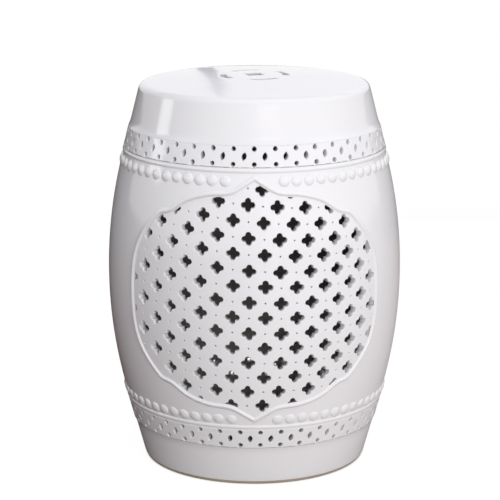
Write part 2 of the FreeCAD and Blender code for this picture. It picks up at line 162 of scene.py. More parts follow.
def paint(hex_colour):
    """An sRGB hex colour as linear red, green, blue and alpha."""
    channels = [int(hex_colour[place:place + 2], 16) / 255 for place in (1, 3, 5)]
    return [c / 12.92 if c <= 0.04045 else ((c + 0.055) / 1.055) ** 2.4 for c in channels] + [1.0]


def add_node(tree, kind, settings=None, sockets=None, links=None):
    """Adds a node with its settings, its socket values and the links that feed it."""
    node = tree.nodes.new(kind)
    for name, setting in (settings or {}).items():
        setattr(node, name, setting)
    for name, constant in (sockets or {}).items():
        node.inputs[name].default_value = constant
    for name, source in (links or {}).items():
        tree.links.new(source, node.inputs[name])
    return node


def object_coords(tree):
    return add_node(tree, "ShaderNodeTexCoord").outputs["Object"]


def noise(tree, coords, size, detail=0.0):
    """Soft noise whose clouds are about a size in millimetres."""
    node = add_node(
        tree, "ShaderNodeTexNoise", sockets={"Scale": 1 / (size * MM), "Detail": detail},
        links={"Vector": coords})
    return node.outputs["Fac"]


def ramp(tree, source, start, end, low=0.0, high=1.0, smooth=False):
    """Goes from low to high while the source goes from start to end."""
    node = add_node(
        tree, "ShaderNodeMapRange", {"interpolation_type": "SMOOTHSTEP" if smooth else "LINEAR"},
        {"From Min": start, "From Max": end, "To Min": low, "To Max": high}, {"Value": source})
    return node.outputs["Result"]


def blend(tree, share, first, second):
    """A colour between two, each given in hex or as the output that carries it."""
    node = add_node(tree, "ShaderNodeMix", {"data_type": "RGBA"}, links={0: share})
    for socket, colour in ((FIRST_COLOUR, first), (SECOND_COLOUR, second)):
        if isinstance(colour, str):
            node.inputs[socket].default_value = paint(colour)
        else:
            tree.links.new(colour, node.inputs[socket])
    return node.outputs[MIXED_COLOUR]


def bump(tree, height, strength, depth, normal=None):
    """A surface that rises by a depth in millimetres with the height, on top of another if given."""
    links = {"Height": height}
    if normal is not None:
        links["Normal"] = normal
    node = add_node(
        tree, "ShaderNodeBump", sockets={"Strength": strength, "Distance": depth * MM}, links=links)
    return node.outputs["Normal"]


def new_material(name):
    material = bpy.data.materials.new(name)
    material.use_nodes = True
    tree = material.node_tree
    tree.nodes.clear()
    return material, tree


def end_material(tree, sockets, links):
    """Ends a material in one surface, with its constants and the outputs that feed it."""
    shader = add_node(tree, "ShaderNodeBsdfPrincipled", sockets=sockets, links=links)
    add_node(tree, "ShaderNodeOutputMaterial", links={"Surface": shader.outputs["BSDF"]})


def white_glaze():
    """Glossy tin-white glaze, dipped and fired over stoneware: it pools a little cooler and denser
    in corners, where its darkening by ambient occlusion is partly painted shade, and keeps a
    faint waviness that bends reflections."""
    material, tree = new_material("fired_white_glaze")
    coords = object_coords(tree)
    cloud = noise(tree, coords, size=70, detail=2.0)
    body = blend(tree, cloud, "#EFEFF1", "#EBEBEC")
    # Partly glaze pooling, partly painted shade: corners and recesses darken with ambient occlusion
    corner = add_node(tree, "ShaderNodeAmbientOcclusion", {"samples": 6}, {"Distance": 7 * MM})
    pooling_and_painted_shade = ramp(tree, corner.outputs["AO"], 0.35, 0.95, 0.75, 0.0)
    colour = blend(tree, pooling_and_painted_shade, body, "#E2E3E6")
    ripple = noise(tree, coords, size=26, detail=1.0)
    peel = noise(tree, coords, size=5)
    waviness = bump(tree, ripple, strength=0.5, depth=0.35)
    surface = bump(tree, peel, strength=0.25, depth=0.03, normal=waviness)
    gloss = ramp(tree, cloud, 0.0, 1.0, 0.09, 0.15)
    end_material(
        tree, {"IOR": 1.52}, {"Base Color": colour, "Roughness": gloss, "Normal": surface})
    return material


def bare_clay():
    """Buff stoneware, wiped clean of glaze and fired: dry and matt, with fine dark grog."""
    material, tree = new_material("bare_buff_stoneware")
    coords = object_coords(tree)
    tone = noise(tree, coords, size=30, detail=3.0)
    body = blend(tree, tone, "#BDB09C", "#A89A86")
    grog = add_node(
        tree, "ShaderNodeTexVoronoi", sockets={"Scale": 1 / (2.2 * MM)}, links={"Vector": coords})
    speck = ramp(tree, grog.outputs["Distance"], 0.12, 0.2, 0.6, 0.0)
    colour = blend(tree, speck, body, "#7D6C58")
    grain = noise(tree, coords, size=1.2, detail=2.0)
    surface = bump(tree, grain, strength=0.6, depth=0.15)
    end_material(
        tree, {"Roughness": 0.85, "IOR": 1.45}, {"Base Color": colour, "Normal": surface})
    return material


def inside_clay():
    """The unglazed inside of the pot: dry pale grey clay, darkened towards the top by painted shade
    where less light gets in, with the finger rings of the throwing."""
    material, tree = new_material("thrown_inside_stoneware")
    coords = object_coords(tree)
    tone = noise(tree, coords, size=45, detail=3.0)
    body = blend(tree, tone, "#DCD9D4", "#D0CDC8")
    place = add_node(tree, "ShaderNodeSeparateXYZ", links={0: coords})
    # Painted shade: the inside grows darker towards the top, where less light gets in through the
    # holes
    painted_shade_towards_top = ramp(tree, place.outputs["Z"], 40 * MM, 190 * MM, smooth=True)
    colour = blend(tree, painted_shade_towards_top, body, "#8A8885")
    ring_pitch = 12 * MM
    rings = add_node(
        tree, "ShaderNodeTexWave", {"bands_direction": "Z", "wave_profile": "SIN"},
        {"Scale": 2 / (math.tau * ring_pitch), "Distortion": 1.2, "Detail": 1.0}, {"Vector": coords})
    surface = bump(tree, rings.outputs["Fac"], strength=0.5, depth=0.8)
    end_material(
        tree, {"Roughness": 0.9, "IOR": 1.45, "Specular IOR Level": 0.1},
        {"Base Color": colour, "Normal": surface})
    return material


GLAZE = white_glaze()
BARE = bare_clay()
INSIDE = inside_clay()


# Ways of making a piece


def deselect():
    if bpy.context.object and bpy.context.object.mode != "OBJECT":
        bpy.ops.object.mode_set(mode="OBJECT")
    bpy.ops.object.select_all(action="DESELECT")


def pick(piece):
    deselect()
    piece.select_set(True)
    bpy.context.view_layer.objects.active = piece


def edit_all():
    """Opens the active mesh for editing, with all of it selected."""
    bpy.ops.object.mode_set(mode="EDIT")
    bpy.ops.mesh.select_all(action="SELECT")


def end_edit():
    bpy.ops.object.mode_set(mode="OBJECT")


def weld(distance):
    """Joins the active mesh's points that are within a distance, and turns its faces outwards."""
    edit_all()
    bpy.ops.mesh.remove_doubles(threshold=distance * MM)
    bpy.ops.mesh.normals_make_consistent(inside=False)
    end_edit()


def delete_faces(piece, is_unwanted):
    """Deletes the faces that a test of their centre and normal picks out."""
    pick(piece)
    bpy.ops.object.mode_set(mode="EDIT")
    bpy.ops.mesh.select_all(action="DESELECT")
    end_edit()
    for face in piece.data.polygons:
        face.select = is_unwanted(face.center / MM, face.normal)
    bpy.ops.object.mode_set(mode="EDIT")
    bpy.ops.mesh.delete(type="FACE")
    end_edit()


def mark_inside(piece, is_inside):
    """Faces that look into the hollow take the second material."""
    for face in piece.data.polygons:
        face.material_index = int(is_inside(face.center / MM, face.normal))


def is_slab_back(centre, normal):
    """Whether a flat slab's face is on its back, which becomes the inside of the wall."""
    return normal.z < -0.99


def finish_piece(piece, node, outside):
    """Gives a finished piece its materials, its body and the CAD node that it stands for."""
    inside_faces = [face.material_index for face in piece.data.polygons]
    piece.data.materials.clear()
    for material in (outside, INSIDE):
        piece.data.materials.append(material)
    piece.data.polygons.foreach_set("material_index", inside_faces)
    piece.name = f"{node}_glazed" if outside is GLAZE else f"{node}_clay"
    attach(piece, "root")
    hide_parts(node)


def arc_points(centre, radius, start, end, steps=4):
    """Points on an arc about (radius, height), from one angle to another in degrees."""
    turns = [math.radians(start + (end - start) * step / steps) for step in range(steps + 1)]
    return [
        (centre[0] + radius * math.cos(turn), centre[1] + radius * math.sin(turn))
        for turn in turns
    ]


def ring_loop(across, up, radius, corners):
    """A round loop about a place."""
    turns = [math.tau * corner / corners for corner in range(corners)]
    return [(across + radius * math.cos(turn), up + radius * math.sin(turn)) for turn in turns]


def at_height(loop, height):
    return [(across, up + height) for across, up in loop]


def steps_between(low, high, step):
    """Even cuts between two ends, about a step apart."""
    count = max(1, round((high - low) / step))
    return [low + (high - low) * index / count for index in range(1, count)]


def turned_ring(section):
    """A closed section of (radius, height) points, turned once about the stool's axis."""
    deselect()
    bpy.ops.mesh.primitive_circle_add(vertices=len(section), radius=MM)
    ring = bpy.context.object
    for vertex, (radius, height) in zip(ring.data.vertices, section):
        vertex.co = Vector((radius, 0, height)) * MM
    edit_all()
    bpy.ops.mesh.spin(steps=TURN_STEPS, angle=math.tau, center=(0, 0, 0), axis=(0, 0, 1))
    weld(0.005)
    bpy.ops.object.shade_smooth_by_angle(angle=CREASE_ANGLE)
    return ring


def drawn_curve(loops, fill):
    """A flat curve of closed loops of (across, up) points."""
    deselect()
    bpy.ops.curve.primitive_bezier_circle_add()
    drawing = bpy.context.object
    drawing.data.splines.clear()
    drawing.data.dimensions = "2D"
    drawing.data.fill_mode = fill
    for loop in loops:
        spline = drawing.data.splines.new("POLY")
        spline.points.add(len(loop) - 1)
        for point, (across, up) in zip(spline.points, loop):
            point.co = (across * MM, up * MM, 0, 1)
        spline.use_cyclic_u = True
    return drawing


def pierced_slab(loops, thickness, softness, cuts_across, cuts_up):
    """A flat slab of clay, front face at depth 0, cut to the first loop and pierced with the rest.
    Softness rounds every cut edge; the cuts divide it so that it can be bent smoothly."""
    slab = drawn_curve(loops, "BOTH")
    curve = slab.data
    curve.extrude = (thickness / 2 - softness) * MM
    curve.bevel_depth = softness * MM
    curve.bevel_resolution = 2
    curve.offset = -softness * MM
    bpy.ops.object.convert(target="MESH")
    edit_all()
    bpy.ops.mesh.remove_doubles(threshold=0.01 * MM)
    bpy.ops.transform.translate(value=(0, 0, -thickness / 2 * MM))
    for across in cuts_across:
        bpy.ops.mesh.select_all(action="SELECT")
        bpy.ops.mesh.bisect(plane_co=(across * MM, 0, 0), plane_no=(1, 0, 0))
    for up in cuts_up:
        bpy.ops.mesh.select_all(action="SELECT")
        bpy.ops.mesh.bisect(plane_co=(0, up * MM, 0), plane_no=(0, 1, 0))
    bpy.ops.mesh.select_all(action="SELECT")
    bpy.ops.mesh.normals_make_consistent(inside=False)
    end_edit()
    bpy.ops.object.shade_smooth()
    return slab


def keep_between(slab, low, high):
    """Cuts off a slab's two ends, square, and leaves them open to be joined round the stool."""
    pick(slab)
    bpy.ops.object.mode_set(mode="EDIT")
    for across, clear in ((low, {"clear_inner": True}), (high, {"clear_outer": True})):
        bpy.ops.mesh.select_all(action="SELECT")
        bpy.ops.mesh.bisect(plane_co=(across * MM, 0, 0), plane_no=(1, 0, 0), **clear)
    end_edit()


def bend(slab, place, axes, softness, closed=False):
    """Bends a flat slab. place gives the new position of flat (across, up, out) points, and axes
    the directions that a flat normal's three parts turn to. Shading comes from the flat slab, so
    that the bent skin is smooth and only the rounded edges shade round."""
    mesh = slab.data
    flat = np.empty(len(mesh.vertices) * 3)
    mesh.vertices.foreach_get("co", flat)
    flat_normals = np.empty(len(mesh.polygons) * 3)
    mesh.polygons.foreach_get("normal", flat_normals)
    kept_places = mesh.attributes.new("flat", "FLOAT_VECTOR", "POINT")
    kept_places.data.foreach_set("vector", flat)
    kept_normals = mesh.attributes.new("flat_normal", "FLOAT_VECTOR", "FACE")
    kept_normals.data.foreach_set("vector", flat_normals)
    bent = place(flat.reshape(-1, 3) / MM) * MM
    mesh.vertices.foreach_set("co", bent.ravel())
    mesh.update()
    pick(slab)
    edit_all()
    if closed:
        bpy.ops.mesh.remove_doubles(threshold=0.02 * MM)
    end_edit()
    mesh = slab.data
    flat = np.empty(len(mesh.vertices) * 3)
    mesh.attributes["flat"].data.foreach_get("vector", flat)
    face_normals = np.empty(len(mesh.polygons) * 3)
    mesh.attributes["flat_normal"].data.foreach_get("vector", face_normals)
    normals = corner_normals(mesh, face_normals.reshape(-1, 3), softness)
    corners = np.empty(len(mesh.loops), dtype=int)
    mesh.loops.foreach_get("vertex_index", corners)
    directions = axes(flat.reshape(-1, 3)[corners] / MM)
    turned = sum(normals[:, part:part + 1] * directions[part] for part in range(3))
    turned /= np.linalg.norm(turned, axis=1, keepdims=True)
    mesh.normals_split_custom_set(turned.tolist())
    mesh.attributes.remove(mesh.attributes["flat"])
    mesh.attributes.remove(mesh.attributes["flat_normal"])


def corner_normals(mesh, face_normals, softness):
    """Shading normals of the flat slab: level on both faces, round where an edge is softened."""
    corners = np.empty(len(mesh.loops), dtype=int)
    mesh.loops.foreach_get("vertex_index", corners)
    sizes = np.empty(len(mesh.polygons), dtype=int)
    mesh.polygons.foreach_get("loop_total", sizes)
    owners = np.repeat(np.arange(len(sizes)), sizes)
    level = np.abs(face_normals[:, 2]) > 0.99
    side_corners = ~level[owners]
    sums = np.zeros((len(mesh.vertices), 3))
    np.add.at(sums, corners[side_corners], face_normals[owners[side_corners]])
    rim = np.zeros(len(mesh.vertices))
    np.add.at(rim, corners[~side_corners], np.sign(face_normals[owners[~side_corners], 2]))
    if softness:
        on_rim = rim != 0
        sums[on_rim] = 0
        sums[on_rim, 2] = np.sign(rim[on_rim])
    lengths = np.linalg.norm(sums, axis=1, keepdims=True)
    sums /= np.where(lengths == 0, 1, lengths)
    normals = sums[corners]
    normals[~side_corners] = face_normals[owners[~side_corners]]
    return normals


def wrap_round(radius_at, slope_at, unrolled_radius):
    """The two functions that bend a slab round the stool, for a skin of a given radius and slope."""
    heights = np.linspace(0, 480, 2401)
    radii = np.array([radius_at(height) for height in heights])
    slopes = np.array([slope_at(height) for height in heights])

    def place(flat):
        angle = flat[:, 0] / unrolled_radius
        reach = np.interp(flat[:, 1], heights, radii) + flat[:, 2]
        return np.stack([reach * np.sin(angle), -reach * np.cos(angle), flat[:, 1]], axis=1)

    def axes(flat):
        angle = flat[:, 0] / unrolled_radius
        reach = np.interp(flat[:, 1], heights, radii) + flat[:, 2]
        slope = np.interp(flat[:, 1], heights, slopes)[:, None]
        zero = np.zeros_like(angle)
        outwards = np.stack([np.sin(angle), -np.cos(angle), zero], axis=1)
        along = np.stack([np.cos(angle), np.sin(angle), zero], axis=1)
        upwards = np.stack([zero, zero, zero + 1], axis=1)
        return along * (unrolled_radius / reach)[:, None], upwards, outwards - slope * upwards

    return place, axes


def side_of(before, after):
    """The outward direction of an anticlockwise outline between two of its points."""
    run = (after - before).normalized()
    return Vector((run.y, -run.x))


# The medallion's outline and the lattice's holes, on the unrolled skin

# The outline's upper right quarter, as shares of its half width and of its rise
MEDALLION_QUARTER = [
    (1.0, 0.0), (0.955, 0.39), (0.765, 0.675), (0.65, 0.722), (0.52, 0.812),
    (0.36, 0.866), (0.18, 0.889), (0.067, 0.955), (0.0, 1.0),
]


def pull(run, through, neighbour):
    """The outline's pull at one end of a run between two knots: its direction runs through the
    knots on either side, and it is weaker where the run is the shorter of the two that meet."""
    return through / 2 * run.length * 2 / (run.length + neighbour.length)


def medallion_outline(inset=0.0, steps=10):
    """Closed outline of the medallion about its own centre: a smooth curve through each half's
    points, with a sharp tip at top and bottom."""
    upper = [
        Vector((across * MEDALLION_HALF_WIDTH, up * MEDALLION_RISE))
        for across, up in MEDALLION_QUARTER
    ]
    lower = [
        Vector((point.x, -point.y * MEDALLION_DROP / MEDALLION_RISE))
        for point in reversed(upper[1:])
    ]
    knots = lower + upper
    knots = [2 * knots[0] - knots[1]] + knots + [2 * knots[-1] - knots[-2]]
    right = []
    for index in range(1, len(knots) - 2):
        before, start, end, after = knots[index - 1:index + 3]
        ahead = pull(end - start, end - before, start - before)
        leave = pull(end - start, after - start, after - end)
        for step in range(steps):
            share = step / steps
            square, cube = share ** 2, share ** 3
            right.append(
                start * (2 * cube - 3 * square + 1) + ahead * (cube - 2 * square + share)
                + end * (3 * square - 2 * cube) + leave * (cube - square))
    right.append(knots[-2].copy())
    outline = right + [Vector((-point.x, point.y)) for point in reversed(right[1:-1])]
    if inset:
        outline = [
            point - inset * side_of(outline[index - 1], outline[(index + 1) % len(outline)])
            for index, point in enumerate(outline)
        ]
    return [(point.x, point.y) for point in outline]


# How finely the lattice's field is measured round its centre
REACHES_PER_DEGREE = 2


def polar_reach(outline):
    """How far a star-shaped outline reaches from its centre, at every half degree."""
    across, up = np.array(outline).T
    angles = np.degrees(np.arctan2(up, across)) % 360
    reaches = np.hypot(across, up)
    order = np.argsort(angles)
    places = np.arange(360 * REACHES_PER_DEGREE) / REACHES_PER_DEGREE
    return np.interp(places, angles[order], reaches[order], period=360)


FIELD_REACH = polar_reach(medallion_outline(LATTICE_MARGIN))


def inside_field(across, up, margin=0.0):
    angle = math.degrees(math.atan2(up, across)) % 360
    place = int(angle * REACHES_PER_DEGREE) % len(FIELD_REACH)
    return math.hypot(across, up) < FIELD_REACH[place] - margin


def inside_lobes(across, up, size):
    """Whether a place is inside a quatrefoil of a relative size about its own centre. The notches
    between its lobes are rounded, as clay and glaze leave them."""
    lobes = (
        (LOBE_REACH_ACROSS, 0), (0, LOBE_REACH_UP),
        (-LOBE_REACH_ACROSS, 0), (0, -LOBE_REACH_UP), (0, 0))
    gap = math.inf
    for x, y in lobes:
        lobe_gap = math.hypot(across - x * size, up - y * size) - LOBE_RADIUS * size
        shared = max(NOTCH_BLEND - abs(gap - lobe_gap), 0) if gap < math.inf else 0
        gap = min(gap, lobe_gap) - shared ** 2 / (4 * NOTCH_BLEND)
    return gap < 0


# A hole's outline is felt out along rays from its heart, which may move inwards from the rim
HEART_MARGIN = 1.2
HEART_STEP = 0.4
FARTHEST_HEART = 7
FIRST_REACH = 0.5
REACH_STEP = 0.15
FARTHEST_REACH = 16
HOLE_RAYS = 40


def cut_hole(across, up, size, turn):
    """A quatrefoil cut by hand: its outline, trimmed where the lattice meets its margin, or None
    where too little of it is left. A wet finger has softened its corners."""
    cosine, sine = math.cos(turn), math.sin(turn)

    def is_open(x, y):
        local_x, local_y = x - across, y - up
        return inside_field(x, y) and inside_lobes(
            local_x * cosine + local_y * sine, local_y * cosine - local_x * sine, size)

    inwards = -Vector((across, up))
    inwards = inwards.normalized() if inwards.length > 1 else Vector((0, 0))
    shift = 0.0
    while not inside_field(across + inwards.x * shift, up + inwards.y * shift, HEART_MARGIN):
        shift += HEART_STEP
        if shift > FARTHEST_HEART:
            return None
    heart = Vector((across, up)) + inwards * shift
    if not is_open(heart.x, heart.y):
        return None
    loop = []
    for ray in range(HOLE_RAYS):
        angle = math.tau * ray / HOLE_RAYS
        step_x, step_y = math.cos(angle), math.sin(angle)
        reach = FIRST_REACH
        while is_open(heart.x + step_x * reach, heart.y + step_y * reach) and reach < FARTHEST_REACH:
            reach += REACH_STEP
        loop.append(Vector((heart.x + step_x * reach, heart.y + step_y * reach)))
    area = abs(sum(loop[i - 1].cross(loop[i]) for i in range(HOLE_RAYS))) / 2
    if area < LEAST_HOLE_AREA:
        return None
    while too_tight(loop, HOLE_SOFTNESS * 1.25):
        loop = [(loop[i - 1] + loop[i] * 3 + loop[(i + 1) % HOLE_RAYS]) / 5 for i in range(HOLE_RAYS)]
    return [(point.x, point.y) for point in loop]


def too_tight(loop, softness):
    """Whether a hole's rounded edge would fold over itself, at a notch sharper than its softness."""
    count = len(loop)
    grown = [loop[i] + softness * side_of(loop[i - 1], loop[(i + 1) % count]) for i in range(count)]
    return any((grown[i] - grown[i - 1]).dot(loop[i] - loop[i - 1]) <= 0 for i in range(count))


# The grid was laid out: where its middle crossing is, how its rows fall to the right and
# bow, and how its angles (degrees) and heights (mm) drift towards the field's sides and ends
LATTICE_ROWS = range(-9, 10)
LATTICE_COLUMNS = range(-10, 11)
LATTICE_MIDDLE_ANGLE = -2.2
LATTICE_MIDDLE_RISE = 6.3
ROW_FALL = 0.11
ROW_BOW = 0.0022
FIELD_HALF_ANGLE = 45
FIELD_HALF_RISE = 120
ANGLE_DRIFT = (0.2, 0.7, 0.15, -2.1, -2.0, -0.77)
RISE_DRIFT = (-2.4, -1.6, 2.0, 1.1, -5.8, 1.2)

# How unevenly the holes are cut by hand
HOLE_WANDER = 0.35
HOLE_SIZES = (1.01, 1.07)
HOLE_TWIST = 0.07


def lattice_crossing(column, row):
    """Where a crossing of the grid is on the unrolled skin, about the medallion's centre."""
    angle = LATTICE_MIDDLE_ANGLE + column * LATTICE_STEP
    up = LATTICE_MIDDLE_RISE - row * LATTICE_PITCH - ROW_FALL * angle + ROW_BOW * angle ** 2
    side, end = angle / FIELD_HALF_ANGLE, up / FIELD_HALF_RISE
    terms = (1, side, end, side ** 2, side * end, end ** 2)
    angle += sum(drift * term for drift, term in zip(ANGLE_DRIFT, terms))
    up += sum(drift * term for drift, term in zip(RISE_DRIFT, terms))
    return math.radians(angle) * BELLY_RADIUS, up


def lattice_holes():
    """Quatrefoils on every second crossing of the grid and pinholes on the others, each a touch off
    its place."""
    holes = []
    for row in LATTICE_ROWS:
        for column in LATTICE_COLUMNS:
            across, up = lattice_crossing(column, row)
            if (row + column) % 2:
                if inside_field(across, up, 3):
                    holes.append(ring_loop(across, up, PINHOLE_RADIUS, 10))
                continue
            hole = cut_hole(
                across + wander(HOLE_WANDER), up + wander(HOLE_WANDER),
                random.uniform(*HOLE_SIZES), wander(HOLE_TWIST))
            if hole:
                holes.append(hole)
    return holes


# The pieces


def inner_wall(bottom, top):
    """The two ends of a turned wall's inner side, from the top down."""
    return [(skin(top) - WALL, top), (skin(bottom) - WALL, bottom)]


def on_skin(*heights):
    return [(skin(height), height) for height in heights]


def fillet(seam, way):
    """Glaze that fills the corner where a skin meets the rounded edge of a band, on the side of
    the seam that way gives: -1 under it and 1 over it."""
    points = []
    for share in (0, 0.35, 0.6, 0.8, 1):
        height = seam + way * FILLET * (1 - share)
        points.append((skin(height) + SEAM_FILL * share ** 2, height))
    return points[::-way]


def finish_ring(ring, node):
    """Finishes a turned wall, whose inner side is bare."""
    mark_inside(
        ring, lambda centre, normal: math.hypot(centre.x, centre.y) < skin(centre.z) - WALL + 1)
    finish_piece(ring, node, GLAZE)


def make_bare_foot_rim():
    """The wiped rim that the stool stands on, its outer edge rounded with a sponge."""
    chamfer, glaze_step = 1, 0.5
    inner_low, inner_high = skin(0) - WALL, skin(BARE_FOOT_HEIGHT) - WALL
    section = [(inner_high, BARE_FOOT_HEIGHT), (inner_low, chamfer), (inner_low + chamfer, 0)]
    section += arc_points((skin(0) - FOOT_ROUNDING, FOOT_ROUNDING), FOOT_ROUNDING, -90, -5)
    section += [(skin(BARE_FOOT_HEIGHT) - glaze_step, BARE_FOOT_HEIGHT)]
    rim = turned_ring(section)
    mark_inside(
        rim, lambda centre, normal: math.hypot(centre.x, centre.y) < inner_low + chamfer / 2)
    finish_piece(rim, "bare_foot_rim", BARE)


def make_foot_wall():
    """The plain cone of the foot: the glaze ends in a thick rolled line over the bare rim, and
    fills the corner under the band."""
    bottom, top, roll = BARE_FOOT_HEIGHT, FOOT_HEIGHT, 0.6
    section = inner_wall(bottom, top)
    section += [(skin(bottom) - roll * 1.5, bottom)]
    section += arc_points((skin(bottom) - roll, bottom + roll), roll, -80, 0, 3)
    section += on_skin(bottom + 3, 16, 28, top - FILLET_CLEARANCE)
    section += fillet(top, -1)
    finish_ring(turned_ring(section), "foot_wall")


def make_shoulder_wall():
    bottom, top = UPPER_BAND_TOP, SEAT_SEAM
    section = inner_wall(bottom, top)
    section += fillet(bottom, 1)
    section += on_skin(bottom + FILLET_CLEARANCE, bottom + 16, bottom + 25, top)
    finish_ring(turned_ring(section), "shoulder_wall")


def make_cord(node, bottom, top):
    """A soft half-round moulding, thrown with the wall; glaze fills the corner towards the band."""
    section = inner_wall(bottom, top)
    for step in range(CORD_STEPS + 1):
        share = step / CORD_STEPS
        height = bottom + (top - bottom) * share
        towards_band = share if top > BELLY_TOP else 1 - share
        swell = CORD_RELIEF * math.sin(math.pi * share) ** 0.8 if 0 < step < CORD_STEPS else 0
        section.append((skin(height) + max(swell, SEAM_FILL * towards_band ** 1.5), height))
    finish_ring(turned_ring(section), node)


def rectangle(left, right, bottom, top):
    return [(left, bottom), (right, bottom), (right, top), (left, top)]


# How unevenly a band is pierced by hand
COLUMN_WANDER = 0.3
DOT_WANDER = 0.25
DOT_SIZES = (0.93, 1.05)
SLOT_LEANS = (-0.32, -0.08)


def make_pierced_band(node, bottom, turn):
    """A raised band, cut flat and pierced with columns of two dots and a slanted pointed slot
    between columns, then bent round the pot and luted."""
    top = bottom + BAND_HEIGHT
    middle = bottom + BAND_HEIGHT / 2
    unrolled = skin(middle) + BAND_RELIEF
    length = math.tau * unrolled
    pitch = length / BAND_COLUMNS
    first = math.radians(turn) * unrolled
    holes = []
    for column in range(BAND_COLUMNS):
        across = first + column * pitch
        for side in (-1, 1):
            dot_across = across + wander(COLUMN_WANDER)
            dot_up = middle + side * DOT_SPACING / 2 + wander(DOT_WANDER)
            radius = DOT_DIAMETER / 2 * random.uniform(*DOT_SIZES)
            holes.append(ring_loop(dot_across, dot_up, radius, 14))
        slot_across = across + pitch / 2 + wander(COLUMN_WANDER)
        holes.append(pointed_slot(slot_across, middle, random.uniform(*SLOT_LEANS)))
    start = first - pitch / 4
    end = start + length
    border = rectangle(start - pitch, end + pitch, bottom, top)
    slab = pierced_slab(
        [border] + holes, WALL + BAND_RELIEF, HOLE_SOFTNESS,
        steps_between(start, end, pitch / 3), [middle - 6, middle, middle + 6])
    keep_between(slab, start, end)
    mark_inside(slab, is_slab_back)
    place, axes = wrap_round(lambda height: skin(height) + BAND_RELIEF, skin_slope, unrolled)
    bend(slab, place, axes, HOLE_SOFTNESS, closed=True)
    finish_piece(slab, node, GLAZE)


def pointed_slot(across, up, lean, steps=7):
    """A slot with two bowed sides that meet in points, leaning a little."""
    cosine, sine = math.cos(lean), math.sin(lean)
    loop = []
    for side in (1, -1):
        for step in range(steps):
            share = -1 + 2 * step / steps
            x = side * SLOT_WIDTH / 2 * (1 - abs(share) ** 2.2)
            y = side * SLOT_LENGTH / 2 * share
            loop.append((across + x * cosine - y * sine, up + x * sine + y * cosine))
    return loop


def make_belly_wall():
    """The barrel wall, cut flat round the medallion's outline and closed round the pot."""
    length = math.tau * BELLY_RADIUS
    end = length / 2
    overlap = 20
    border = rectangle(-end - overlap, end + overlap, BELLY_BOTTOM, BELLY_TOP)
    opening = at_height(medallion_outline(), MEDALLION_HEIGHT)
    slab = pierced_slab(
        [border, opening], WALL, 0, steps_between(-end, end, length / BELLY_COLUMNS),
        steps_between(BELLY_BOTTOM, BELLY_TOP, BELLY_ROW))
    keep_between(slab, -end, end)
    mark_inside(slab, is_slab_back)
    place, axes = wrap_round(skin, belly_slope, BELLY_RADIUS)
    bend(slab, place, axes, 0, closed=True)
    finish_piece(slab, "belly_wall", GLAZE)


def make_lattice_panel():
    """The medallion's field: pierced flat as a leather-hard slab, then bent to the belly."""
    loops = [medallion_outline()] + lattice_holes()
    loops = [at_height(loop, MEDALLION_HEIGHT) for loop in loops]
    step = math.radians(LATTICE_STEP / 2) * BELLY_RADIUS
    top, bottom = MEDALLION_HEIGHT + MEDALLION_RISE, MEDALLION_HEIGHT - MEDALLION_DROP
    slab = pierced_slab(
        loops, WALL, HOLE_SOFTNESS,
        steps_between(-MEDALLION_HALF_WIDTH, MEDALLION_HALF_WIDTH, step),
        steps_between(bottom, top, step))
    mark_inside(slab, is_slab_back)
    place, axes = wrap_round(skin, belly_slope, BELLY_RADIUS)
    bend(slab, place, axes, HOLE_SOFTNESS)
    finish_piece(slab, "lattice_panel", GLAZE)


# The rim's section as (across, out) points: its middle lies on the medallion's outline
RIM_SECTION = [
    (-3.8, -0.15), (-3.0, 0.08), (-2.5, 0.4), (-1.9, 1.15), (-1.0, 1.8), (0.0, 2.0),
    (1.0, 1.8), (1.9, 1.15), (2.5, 0.4), (3.0, 0.08), (3.8, -0.15), (0.0, -0.6),
]


def make_medallion_rim():
    """A rolled strip pressed along the panel's edge: half-round, its foot blended out by the glaze."""
    profile = drawn_curve([RIM_SECTION], "NONE")
    strip = drawn_curve([at_height(medallion_outline(), MEDALLION_HEIGHT)], "NONE")
    strip.data.bevel_mode = "OBJECT"
    strip.data.bevel_object = profile
    pick(strip)
    bpy.ops.object.convert(target="MESH")
    bpy.data.objects.remove(profile)
    weld(0.01)
    place, _ = wrap_round(skin, belly_slope, BELLY_RADIUS)
    flat = np.array([vertex.co[:] for vertex in strip.data.vertices])
    strip.data.vertices.foreach_set("co", (place(flat / MM) * MM).ravel())
    strip.data.update()
    pick(strip)
    bpy.ops.object.shade_smooth_by_angle(angle=CREASE_ANGLE)
    finish_piece(strip, "medallion_rim", GLAZE)


def make_bead():
    """A low dome of clay, whose glaze draws out into a small skirt."""
    ball = (BEAD_RADIUS ** 2 + BEAD_RELIEF ** 2) / (2 * BEAD_RELIEF)
    deselect()
    bpy.ops.mesh.primitive_uv_sphere_add(
        segments=16, ring_count=18, radius=ball * MM, location=(0, 0, (BEAD_RELIEF - ball) * MM))
    dome = bpy.context.object
    bpy.ops.object.transform_apply(location=True)
    edit_all()
    bpy.ops.transform.resize(value=(BEAD_FLARE, BEAD_FLARE, 1))
    bpy.ops.mesh.bisect(plane_co=(0, 0, BEAD_CUT_HEIGHT * MM), plane_no=(0, 0, 1), clear_inner=True)
    for growth, rise in BEAD_SKIRT:
        bpy.ops.mesh.extrude_edges_move()
        bpy.ops.transform.resize(value=(growth, growth, 1))
        bpy.ops.transform.translate(value=(0, 0, rise * MM))
    bpy.ops.mesh.edge_face_add()
    bpy.ops.mesh.select_all(action="SELECT")
    bpy.ops.mesh.normals_make_consistent(inside=False)
    end_edit()
    bpy.ops.object.shade_smooth_by_angle(angle=math.radians(60))
    return dome


# How unevenly the beads are pressed on by hand
BEAD_TURN_WANDER = 0.002
BEAD_HEIGHT_WANDER = 0.4
BEAD_SIZES = (0.94, 1.0)
BEAD_OVALS = (0.96, 1.0)


